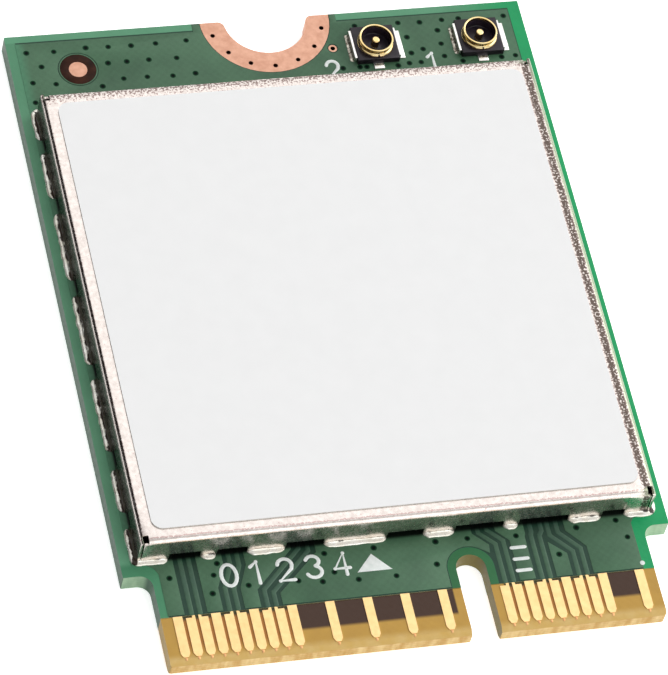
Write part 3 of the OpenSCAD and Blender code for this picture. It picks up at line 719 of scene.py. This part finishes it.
# Signal tracks run from the contacts' tabs to the can, in pairs
trackSpec = {"width": 0.19, "height": 0.012, "start": maskY + 0.08, "end": 5.2}
trackPaths = [
    [(-8.67, 0), (-8.67, 1)], [(-8.33, 0), (-8.33, 1)],
    [(-7.17, 0), (-7.17, 3.12), (-6.76, 4.12), (-6.76, 1)],
    [(-6.83, 0), (-6.83, 3.05), (-6.42, 4.05), (-6.42, 1)],
    [(-5.67, 0), (-5.67, 2.87), (-3.96, 4.54), (-3.96, 1)],
    [(-5.33, 0), (-5.33, 2.72), (-3.6, 4.4), (-3.6, 1)],
    [(3.83, 0), (3.83, 3.86), (3.26, 4.43), (3.26, 1)], [(4.17, 0), (4.17, 3.98), (3.62, 4.53), (3.62, 1)],
    [(5.33, 0), (5.33, 4.1), (5.38, 4.25), (5.38, 1)], [(5.67, 0), (5.67, 4.05), (5.8, 4.25), (5.8, 1)],
    [(6.83, 0), (6.83, 3.2), (6.08, 4.0), (6.08, 1)], [(7.17, 0), (7.17, 3.3), (6.44, 4.1), (6.44, 1)],
]
paths = [[spot(x, y) for x, y in ended(path, trackSpec["start"], trackSpec["end"])] for path in trackPaths]
wear(drawn("signalTracks", paths, trackSpec, finishes["track"]), "solder_mask")
print("tracks made")


# Turned shapes: a profile of (radius, height) points spun about an upright line

def turned(name, center, profile, finish, steps=48, closed=True):
    points, faces = [], []
    count = len(profile)
    for i in range(steps):
        angle = 2 * math.pi * i / steps
        out = Vector((math.cos(angle), math.sin(angle), 0))
        points += [center + out * radius + Vector((0, 0, height)) for radius, height in profile]
    for i in range(steps):
        after = (i + 1) % steps
        for j in range(count if closed else count - 1):
            k = (j + 1) % count
            faces.append((i * count + j, after * count + j, after * count + k, i * count + k))
    piece = meshPiece(name, points, faces)
    weld(piece)
    finishPiece(piece, finish, 35)
    return piece


def addAcross(piece, center, reach):  # stores how far out each point lies, 0 in the middle to 1 at the rim
    values = [min(1, (vertex.co / mm - center).xy.length / reach) for vertex in piece.data.vertices]
    piece.data.attributes.new("across", "FLOAT", "POINT").data.foreach_set("value", values)


# Small vias under the mask
viaSpec = {"radius": 0.13, "height": 0.003, "spread": 0.08, "seed": 4}
viaPlaces = [
    (-10.21, 29.12), (-9.07, 29.09), (-7.72, 29.17), (-6.78, 29.14), (-5.82, 29.12), (-4.78, 29.14),
    (-3.48, 29.18), (-9.71, 28.37), (-6.94, 28.32), (-6.15, 28.33), (-5.22, 28.34), (-4.05, 28.33),
    (-10.21, 27.59), (-9.27, 27.45), (-6.44, 27.48), (-5.45, 27.48), (-4.38, 27.44), (-3.42, 27.48),
    (-7.38, 27.17), (-10.28, 26.6), (3.75, 29.29), (5.62, 29.29), (6.55, 29.24), (7.52, 29.28),
    (8.25, 29.29), (10.21, 29.26), (7.22, 28.76), (5.84, 28.52), (7.22, 28.06), (6.39, 27.85),
    (5.85, 27.69), (7.22, 27.41),
    (2.79, 27.17), (3.52, 27.17), (3.81, 27.15), (5.15, 27.10), (5.65, 27.18), (6.16, 27.19), (7.95, 27.09),
    (9.64, 27.15), (10.25, 27.18), (-9.22, 3.78), (-7.49, 3.72), (-7.69, 2.92), (-7.26, 4.22), (-6.23, 3.12),
    (-4.26, 3.10), (-2.78, 3.32), (-1.9, 2.89), (-0.39, 2.88), (-1.01, 4.22), (-3.0, 4.19), (1.31, 3.21),
    (1.48, 4.22), (2.77, 4.22), (4.73, 4.12), (6.25, 3.10), (7.22, 4.22), (8.88, 4.37), (9.17, 3.57),
    (-3.32, 2.95),
]
dotProfile = [(0, 0.25), (0.3, 0.3), (0.6, 0.75), (0.78, 1), (0.92, 0.8), (1, 0), (0.9, -0.4), (0, -0.4)]
origin = Vector((0, 0, 0))
dot = turned("dotShape", origin, [(r * viaSpec["radius"], h * viaSpec["height"]) for r, h in dotProfile],
             finishes["dot"], steps=20, closed=False)
addAcross(dot, origin, viaSpec["radius"])
vias = grow("coveredVias", repeats, [spot(x, y, pourTop) for x, y in viaPlaces], [], 50, {
    "Piece": dot, "Spread": viaSpec["spread"], "Seed": viaSpec["seed"], "Finish": finishes["dot"]})
wear(vias, "solder_mask")
bpy.data.objects.remove(dot)

# Plated barrels in the pad's via holes and in the grounding via
barrelSpec = {"radius": 0.105, "bore": 0.094, "ring": 2.42, "step": 24.6, "steps": 6}
outer, bore = barrelSpec["radius"], barrelSpec["bore"]
barrel = turned("barrelShape", origin, [(outer, 0.01), (outer, boardTop - 0.02), (bore, boardTop - 0.03),
                                        (bore, 0.02)], finishes["barrel"], steps=20)
swing = barrelSpec["step"] * barrelSpec["steps"] / 2
holes = arc(0, boardHigh.y, barrelSpec["ring"], -90 - swing, -90 + swing, barrelSpec["steps"])
holes = [(x, y, 0) for x, y in holes + [(ground.x, ground.y)]]
barrels = grow("viaBarrels", repeats, holes, [], 40, {
    "Piece": barrel, "Spread": 0.0, "Seed": 1, "Finish": finishes["barrel"]})
wear(barrels, "bare_copper")
bpy.data.objects.remove(barrel)
print("vias made")

# White print: plain digits, a triangle, a three-bar mark at the key, a dot at the first contact
printSpec = {
    "width": 0.15, "height": 0.012, "row": (-7.2, 3.17), "pitch": 1.12, "size": (0.6, 0.96),
    "sockets": [("2", 2.1, 26.72, 0.52, 0.86), ("1", 6.42, 26.75, 0.5, 0.86)],
    "bars": [2.56, 3.08, 3.6], "barEnds": (4.42, 4.96), "firstDot": (9.47, 2.34, 0.1),
    "triangle": [(-1.88, 3.2), (-0.48, 3.2), (-1.18, 3.97)], "rim": 0.004,
}


def bow(cx, cy, wide, tall, start, stop, step):  # part of an oval, clockwise from its left end, in degrees
    return [(cx - wide * math.cos(math.radians(a)), cy + tall * math.sin(math.radians(a)))
            for a in range(start, stop, step)]


digits = {  # strokes in a box one high and one wide
    "0": [bow(0.5, 0.5, 0.5, 0.5, 90, 451, 18)],
    "1": [[(0.1, 0.78), (0.55, 1), (0.55, 0)]],
    "2": [bow(0.5, 0.7, 0.48, 0.3, 10, 181, 17) + [(0.9, 0.52), (0.02, 0), (1, 0)]],
    "3": [bow(0.48, 0.76, 0.44, 0.24, 20, 251, 23), bow(0.48, 0.27, 0.5, 0.27, 110, 341, 23)],
    "4": [[(0.72, 0), (0.72, 1), (0, 0.3), (1, 0.3)]],
}
rowX, rowY = printSpec["row"]
row = [(digit, rowX + i * printSpec["pitch"], rowY, *printSpec["size"]) for i, digit in enumerate("01234")]
marks = []
for digit, x, y, wide, tall in row + printSpec["sockets"]:
    marks += [[spot(x + u * wide, y + v * tall, pourTop) for u, v in path] for path in digits[digit]]
for y in printSpec["bars"]:
    marks.append([spot(x, y, pourTop) for x in printSpec["barEnds"]])
wear(drawn("printedMarks", marks, printSpec, finishes["ink"]), "solder_mask")
signs = [printSpec["triangle"], circle(*printSpec["firstDot"], 18)]
signs = [[(x, y + edgeY) for x, y in loop] for loop in signs]
wear(flatPiece("printedSigns", signs, boardTop, pourTop + printSpec["height"] / 2, printSpec["rim"],
               finishes["ink"]), "solder_mask")
print("print made")

# Stubs of the plating lines, cut off on the bevel
stubSpec = {
    "width": 0.1, "height": 0.006, "pitch": 0.5, "middlePin": 38,
    "path": [(0.34, 0.024), (0.23, 0.028), (0.2, 0.04)],  # up from the contact edge, and down the bevel
    "pins": [*range(57, 76, 2), *range(33, 52, 6), *range(7, 24, 2), 1],
}
stubXs = [(stubSpec["middlePin"] - pin) * stubSpec["pitch"] / 2 for pin in stubSpec["pins"]]
stubPaths = [[spot(x, y, boardTop - down) for y, down in stubSpec["path"]] for x in stubXs]
wear(drawn("platingStubs", stubPaths, stubSpec, finishes["stub"]), "contact_gold")

# Shield can: one folded sheet, open at its four corners and along its lower edge
can = {
    "sheet": 0.12, "bend": canLook["bend"], "bendSteps": 6, "openingHeight": 0.38, "relief": 0.34,
    "seam": 0.04, "edgeRound": 0.012, "edgeAngle": 40, "cornerFoot": 0.6, "smooth": 32,
    "belowBend": 0.03, "sideStart": 2,  # a row just under the bend, and where the side walls' bend starts
    # the middle and the width of each opening along a wall
    "front": [(-8.475, 1.25), (-6.6, 1.2), (-3.7, 1.5), (0.325, 1.45), (3.325, 1.95), (5.95, 2), (8.8, 0.9)],
    "back": [(-8.1, 1.2), (-5.1, 1.2), (-2.1, 1.2), (1.1, 1.2), (4.34, 1.0), (6.6, 0.9), (8.84, 0.8)],
    "side": [(-8.8, 0.7), (-6.05, 0.8), (-1.9, 0.65), (2.1, 0.7), (6.1, 0.7), (9.05, 0.6)],
}
canMid = (canLow + canHigh) / 2
canHalf = (canHigh - canLow) / 2
canTall = canHigh.z - canLow.z


def cuts(*openings):  # where the openings of these walls begin and end
    return [middle + side * wide / 2 for wall in openings for middle, wide in can[wall] for side in (-1, 1)]


def foldedCan():
    bend, relief, sheet = can["bend"], can["relief"], can["sheet"]
    flatX, flatY = canHalf.x - bend, canHalf.y - bend
    reliefX = canHalf.x - relief  # inner side of the corner openings
    reliefY = canHalf.y - relief
    crossHalf = canHalf.x - sheet - can["seam"]
    arcSteps = [math.pi / 2 * i / can["bendSteps"] for i in range(can["bendSteps"] + 1)]
    bendRows = [(bend * math.sin(a) - bend, canTall - bend + bend * math.cos(a)) for a in arcSteps]
    wallRows = [(0, canTall - bend - can["belowBend"]), (0, can["openingHeight"]), (0, 0)]
    crossCuts = sorted(cuts("front", "back") + [-reliefX, reliefX, -crossHalf, crossHalf])
    sideCuts = sorted(cuts("side") + [-reliefY, reliefY, -canHalf.y, canHalf.y])
    x, y, up = Vector((1, 0, 0)), Vector((0, 1, 0)), Vector((0, 0, 1))
    base = Vector((canMid.x, canMid.y, canLow.z))
    near = 1e-6
    points, faces = [], []

    def quad(corners, facing):
        normal = (corners[1] - corners[0]).cross(corners[2] - corners[0])
        if normal.dot(facing) < 0:
            corners = corners[::-1]
        faces.append(tuple(range(len(points), len(points) + 4)))
        points.extend(corners)

    def wall(along, out, half, stops, bendReach, reach, openings, firstRow):
        for start, end in zip(stops, stops[1:]):
            middle = (start + end) / 2
            if end - start < near or abs(middle) > reach:
                continue
            isOpen = any(abs(middle - m) < w / 2 for m, w in openings)
            rows = (bendRows if abs(middle) < bendReach else bendRows[firstRow:]) + wallRows
            for upper, lower in zip(rows, rows[1:]):
                if isOpen and lower[1] < can["openingHeight"] - near:
                    continue
                corners = [base + along * s + out * (half + row[0]) + up * row[1]
                           for s, row in ((start, upper), (end, upper), (end, lower), (start, lower))]
                quad(corners, out + up * 0.5 * (upper[1] > canTall - bend + near))

    for way, openings in ((-y, "front"), (y, "back")):
        wall(x, way, canHalf.y, crossCuts, reliefX, crossHalf, can[openings], can["bendSteps"])
    for way in (-x, x):  # the side walls reach the corners, with part of their bend
        wall(y, way, canHalf.x, sideCuts, reliefY, canHalf.y, can["side"], can["sideStart"])
    topX = [-flatX] + [c for c in crossCuts if abs(c) <= reliefX + near] + [flatX]
    topY = [-flatY] + [c for c in sideCuts if abs(c) <= reliefY + near] + [flatY]
    for x0, x1 in zip(topX, topX[1:]):
        for y0, y1 in zip(topY, topY[1:]):
            if abs(x0 + x1) / 2 > reliefX and abs(y0 + y1) / 2 > reliefY:
                continue
            quad([Vector((canMid.x + a, canMid.y + b, canHigh.z))
                  for a, b in ((x0, y0), (x1, y0), (x1, y1), (x0, y1))], up)
    sheetPiece = meshPiece("foldedCan", points, faces)
    weld(sheetPiece, 1e-7, turnOutward=False)
    thick = sheetPiece.modifiers.new("sheet", "SOLIDIFY")
    thick.thickness = sheet * mm
    thick.offset = -1
    thick.use_even_offset = True
    soft = sheetPiece.modifiers.new("edges", "BEVEL")
    soft.width = can["edgeRound"] * mm
    soft.segments = 2
    soft.limit_method = "ANGLE"
    soft.angle_limit = math.radians(can["edgeAngle"])
    bake(sheetPiece)
    finishPiece(sheetPiece, finishes["can"], can["smooth"])
    return sheetPiece


wear(foldedCan(), "can_metal", "shield_can")
print("can made")

# Solder fillets along the can's feet
solder = {
    "width": 0.26, "height": 0.3, "taper": 0.3, "uneven": 0.7, "lumps": 2.2, "ripple": 0.035,
    "frontTuck": 0.07,
}
# The fillet's outer face, out from the wall and down to the board, as shares of its width and height
filletShape = [(0, 1), (0.05, 0.8), (0.12, 0.6), (0.22, 0.42), (0.34, 0.3), (0.46, 0.245), (0.6, 0.22),
               (0.74, 0.2), (0.86, 0.175), (0.94, 0.12), (0.985, 0.05), (1, 0)]
filletTuck = 0.02  # how far it reaches into the wall


def feet(openings, half):
    kept = [o for o in openings if abs(o[0]) + o[1] / 2 < half - can["cornerFoot"]]
    starts = [-half] + [m + w / 2 for m, w in kept]
    stops = [m - w / 2 for m, w in kept] + [half]
    return list(zip(starts, stops))


def footPaths():  # anticlockwise seen from above, so the right of each path is outside
    hx, hy = canHalf.x, canHalf.y
    front, back, side = feet(can["front"], hx), feet(can["back"], hx), feet(can["side"], hy)

    def at(x, y):  # the front fillets are narrower: they start a little inside the wall
        return Vector((canMid.x + x, canMid.y + max(y, solder["frontTuck"] - hy), canLow.z))

    paths = [[at(a, -hy), at(b, -hy)] for a, b in front[1:-1]]
    paths += [[at(b, hy), at(a, hy)] for a, b in back[1:-1]]
    paths += [[at(hx, a), at(hx, b)] for a, b in side[1:-1]]
    paths += [[at(-hx, b), at(-hx, a)] for a, b in side[1:-1]]
    return paths + [  # and the four that turn a corner
        [at(-hx, side[0][1]), at(-hx, -hy), at(front[0][1], -hy)],
        [at(front[-1][0], -hy), at(hx, -hy), at(hx, side[0][1])],
        [at(hx, side[-1][0]), at(hx, hy), at(back[-1][0], hy)],
        [at(back[0][1], hy), at(-hx, hy), at(-hx, side[-1][0])],
    ]


def soldered(name, paths, spec, seed, finish):
    outline = [(x * spec["width"], -y * spec["height"], 0) for x, y in filletShape]
    outline += [(-filletTuck, 0, 0), (-filletTuck, -spec["height"], 0), outline[0]]
    points, edges = lines(outline)
    section = meshPiece("section", points, [], edges)
    piece = grow(name, fillets, *lines(*paths), 50, {
        "Section": section, "Taper": spec["taper"] * mm, "Uneven": spec["uneven"], "Lumps": spec["lumps"],
        "Seed": seed, "Ripple Size": spec["ripple"] * mm, "Finish": finish})
    bpy.data.objects.remove(section)
    weld(piece)
    return piece


wear(soldered("footSolder", footPaths(), solder, 3.0, finishes["solder"]), "solder", "shield_solder")
print("solder made")

# Antenna sockets: a moulded base, a turned ring with a snap groove, a pin, two upright tabs, solder
socket = {
    "baseWide": 1.8, "baseLong": 1.72, "baseTall": 0.3, "bore": 0.625, "edge": 0.015,
    "seam": [(-0.03, -0.785, 0.28), (0.03, -0.68, 0.372)], "seamEdge": 0.008,
    "tabX": 0.9, "tabTall": 0.28, "tabLong": 1.42, "wingThick": 0.06,
    "left": {"side": -1, "tabThick": 0.11, "wingReach": 0.12, "solderFrom": 0.1, "solderLow": 0},
    "right": {"side": 1, "tabThick": 0.08, "wingReach": 0.3, "solderFrom": 0.16, "solderLow": 0.07},
    "signalWide": 0.44, "signalReach": 0.3, "signalIn": 0.05, "signalThick": 0.05, "signalEdge": 0.02,
    "signalSlope": 0.18,
}
tabSolder = {"width": 0.17, "height": 0.12, "taper": 0.1, "uneven": 0.3, "lumps": 3.0, "ripple": 0.04}
# Turned profiles as (radius, height above the board)
ringProfile = [(0.635, 0.11), (0.69, 0.11), (0.69, 0.298), (0.752, 0.298), (0.76, 0.306), (0.757, 0.32),
               (0.725, 0.352), (0.69, 0.362), (0.67, 0.38), (0.665, 0.42), (0.665, 0.47), (0.68, 0.505),
               (0.71, 0.53), (0.718, 0.55), (0.718, 0.588), (0.715, 0.606), (0.708, 0.617), (0.698, 0.62),
               (0.654, 0.62), (0.643, 0.614), (0.637, 0.6), (0.635, 0.56)]
pinProfile = [(0, 0.08), (0.175, 0.08), (0.175, 0.15), (0.165, 0.16), (0.16, 0.18), (0.16, 0.47),
              (0.155, 0.495), (0.142, 0.511), (0.12, 0.519), (0.06, 0.52), (0, 0.52)]
wellProfile = [(0, 0.04), (0.645, 0.04), (0.645, 0.1), (0.634, 0.5), (0.624, 0.52), (0.612, 0.5),
               (0.605, 0.14), (0.58, 0.12), (0.3, 0.12), (0.27, 0.13), (0, 0.13)]


def roundedBox(center, low, high, soften, finish):  # a block between two corners given from a middle point
    corners = list(zip(center + Vector(low), center + Vector(high)))
    points = [(x, y, z) for x in corners[0] for y in corners[1] for z in corners[2]]
    faces = [(0, 1, 3, 2), (4, 6, 7, 5), (0, 4, 5, 1), (2, 3, 7, 6), (0, 2, 6, 4), (1, 5, 7, 3)]
    piece = meshPiece("block", points, faces)
    soft = piece.modifiers.new("edges", "BEVEL")
    soft.width = soften * mm
    soft.segments = 3
    bake(piece)
    weld(piece)
    finishPiece(piece, finish, 40)
    return piece


def joined(name, *parts):
    mesh = bpy.data.meshes.new(name)
    whole = bmesh.new()
    for part in parts:
        whole.from_mesh(part.data)
    whole.to_mesh(mesh)
    whole.free()
    finish = parts[0].data.materials[0]
    for part in parts:
        bpy.data.objects.remove(part)
    piece = newObject(name, mesh)
    finishPiece(piece, finish, 38)
    return piece


halfWide, halfLong, halfTab = socket["baseWide"] / 2, socket["baseLong"] / 2, socket["tabLong"] / 2
halfSignal, signalEnd = socket["signalWide"] / 2, -halfLong - socket["signalReach"]
for number in (1, 2):
    low, high = boxMm(f"socket_{number}_base")
    mid = Vector(((low.x + high.x) / 2, (low.y + high.y) / 2, boardTop))
    label = f"socket{number}"
    outline = [(mid.x + x * halfWide, mid.y + y * halfLong) for x, y in ((-1, -1), (1, -1), (1, 1), (-1, 1))]
    block = flatPiece(label + "Block", [outline, circle(mid.x, mid.y, socket["bore"], 60)], boardTop,
                      boardTop + socket["baseTall"], socket["edge"], finishes["plastic"])
    well = turned(label + "Well", mid, wellProfile, finishes["plastic"], closed=False)
    seam = roundedBox(mid, *socket["seam"], socket["seamEdge"], finishes["plastic"])
    wear(joined(label + "Base", block, well, seam), "socket_plastic", f"socket_{number}_base")
    ring = turned(label + "Ring", mid, ringProfile, finishes["socketGold"], steps=64)
    wear(ring, "socket_gold", f"socket_{number}_shell")
    pin = turned(label + "Pin", mid, pinProfile, finishes["socketGold"], steps=32, closed=False)
    wear(pin, "socket_gold", f"socket_{number}_pin")
    tabs, slopes = [], []
    for spec in (socket["left"], socket["right"]):
        side, start = spec["side"], spec["side"] * socket["tabX"]
        for thick, tall in ((spec["tabThick"], socket["tabTall"]), (spec["wingReach"], socket["wingThick"])):
            x0, x1 = sorted((start, start + side * thick))
            tabs.append(roundedBox(mid, (x0, -halfTab, 0), (x1, halfTab, tall), socket["edge"],
                                   finishes["tab"]))
        slopes.append([mid + Vector((start + side * spec["solderFrom"], y, -spec["solderLow"]))
                       for y in (-side * halfTab, side * halfTab)])
    tabs.append(roundedBox(mid, (-halfSignal, signalEnd, 0), (halfSignal, socket["signalIn"] - halfLong,
                           socket["signalThick"]), socket["signalEdge"], finishes["tab"]))
    wear(joined(label + "Tabs", *tabs), "solder")
    slopeY = signalEnd + socket["signalSlope"]
    slopes.append([mid + Vector((x, slopeY, 0)) for x in (-halfSignal, halfSignal)])
    slope = soldered(label + "Solder", slopes, tabSolder, float(number), finishes["dullSolder"])
    wear(slope, "solder", f"socket_{number}_solder")
print("sockets made")

# Floor, soft studio light, and the camera at the photograph's angle
stage = {
    "floorSize": 4.0, "floorDrop": 0.02, "floorGlow": 0.7, "floor": paint(252, 252, 252),
    "floorShade": paint(248, 248, 248), "sky": [(0.0, 0.95), (0.2, 0.9), (0.6, 0.8), (1.0, 0.75)],
    "darkSide": 0.03, "darkWay": (-0.16, -0.36), "darkHeights": (0.03, 0.84),  # for the metal to mirror
}
reach, drop = stage["floorSize"] / 2 / mm, -stage["floorDrop"]
floor = meshPiece("floor", [(-reach, -reach, drop), (reach, -reach, drop), (reach, reach, drop),
                            (-reach, reach, drop)], [(0, 1, 2, 3)])
floorFinish, floorShader, floorPlace = newFinish("paleFloor")
floorTone = mixColor(noise(floorPlace, 0.02), stage["floor"], stage["floorShade"])
setInputs(floorShader, {"Base Color": floorTone, "Emission Color": floorTone, "Roughness": 0.9,
                        "Emission Strength": stage["floorGlow"], "Specular IOR Level": 0.1})
finishPiece(floor, floorFinish)

world = bpy.data.worlds.new("studio")
world.use_nodes = True
sky = world.node_tree
way = xyz(put(sky, "ShaderNodeTexCoord").outputs["Generated"])
shades = [(place, (shade, shade, shade, 1)) for place, shade in stage["sky"]]
flag = times(rise(way[0], *stage["darkWay"]), inside(way[2], *stage["darkHeights"]))
skyTone = mixColor(flag, ramp(way[2], *shades), (*[stage["darkSide"]] * 3, 1))
plug(sky.nodes["Background"].inputs["Color"], skyTone)
bpy.context.scene.world = world
bpy.context.scene.view_settings.view_transform = "Standard"

# Each lamp: the way it lies from the card, how far, how wide and high, and how bright
lamps = {
    "softbox": {"way": (0.3, 0.54, 0.79), "far": 0.6, "size": (0.62, 0.5), "power": 0.62},
    "key": {"way": (0.8, 0.2, 0.56), "far": 0.5, "size": (0.36, 0.36), "power": 0.85},
    "front": {"way": (0.2, -0.82, 0.5), "far": 0.6, "size": (0.7, 0.5), "power": 1.1},
}
for name, lamp in lamps.items():
    light = bpy.data.lights.new(name, "AREA")
    light.shape = "RECTANGLE"
    light.size, light.size_y = lamp["size"]
    light.energy = lamp["power"]
    source = newObject(name, light)
    way = Vector(lamp["way"]).normalized()
    source.location = way * lamp["far"]
    source.rotation_euler = (-way).to_track_quat("-Z", "Y").to_euler()

view = {
    "target": (-0.459, -0.963, 0.8), "azimuth": -25.574, "elevation": 54.416, "roll": 16.180,
    "distance": 197.145, "lens": 264.52,
}
azimuth, elevation = math.radians(view["azimuth"]), math.radians(view["elevation"])
back = Vector((math.sin(azimuth) * math.cos(elevation), -math.cos(azimuth) * math.cos(elevation),
               math.sin(elevation)))
camera = newObject("camera", bpy.data.cameras.new("camera"))
camera.data.lens = view["lens"]
camera.data.clip_start = 0.01
camera.data.clip_end = 20
camera.rotation_mode = "QUATERNION"
camera.location = (Vector(view["target"]) + back * view["distance"]) * mm
level = (-back).to_track_quat("-Z", "Y")
camera.rotation_quaternion = level @ Quaternion((0, 0, 1), math.radians(view["roll"]))
bpy.context.scene.camera = camera
